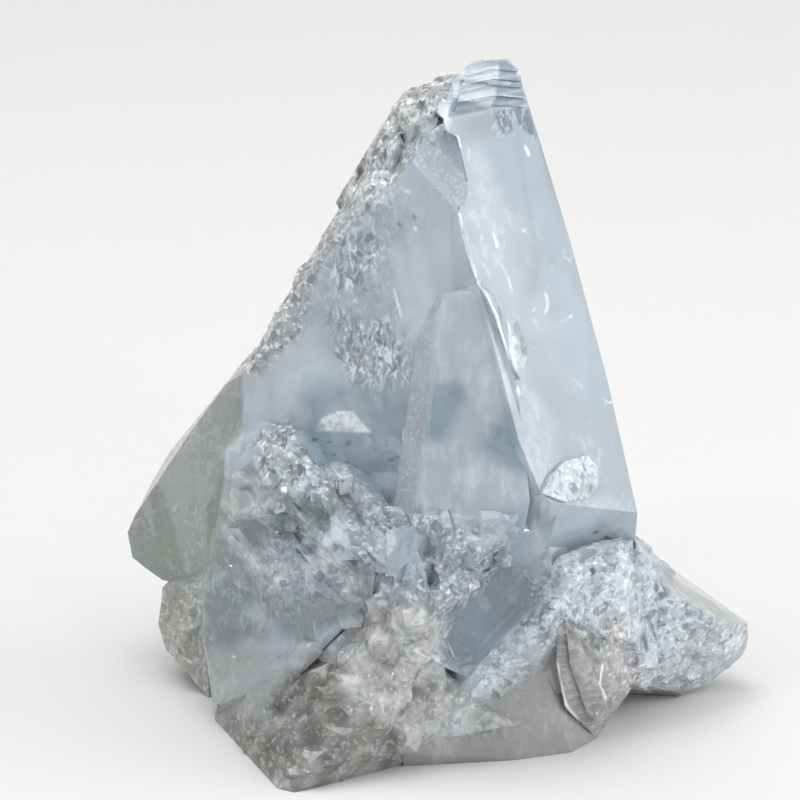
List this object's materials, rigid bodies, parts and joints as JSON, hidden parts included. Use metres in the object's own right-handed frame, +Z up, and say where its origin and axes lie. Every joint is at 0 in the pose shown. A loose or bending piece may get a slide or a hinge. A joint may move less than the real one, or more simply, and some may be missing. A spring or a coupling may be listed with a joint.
{
  "type": "celestite crystal cluster",
  "caption": "Free-standing cluster of pale blue celestite crystals: a tall chisel-ended spire and its twin grown out of a broken grey rock foot, cut flat underneath.",
  "frame": {"origin": "centre of the bounding box on the flat cut that the cluster stands on", "axes": "+Z up through the spire, +X to the right and +Y away from the viewer in the pictured view"},
  "size_m": [0.0516, 0.0342, 0.0548],
  "materials": {
    "celestite_cluster": "clear to milky crystal faces, frosted and sugary broken parts"
  },
  "bodies": {
    "root": {"celestite_cluster": "celestite_cluster"}
  },
  "joints": []
}
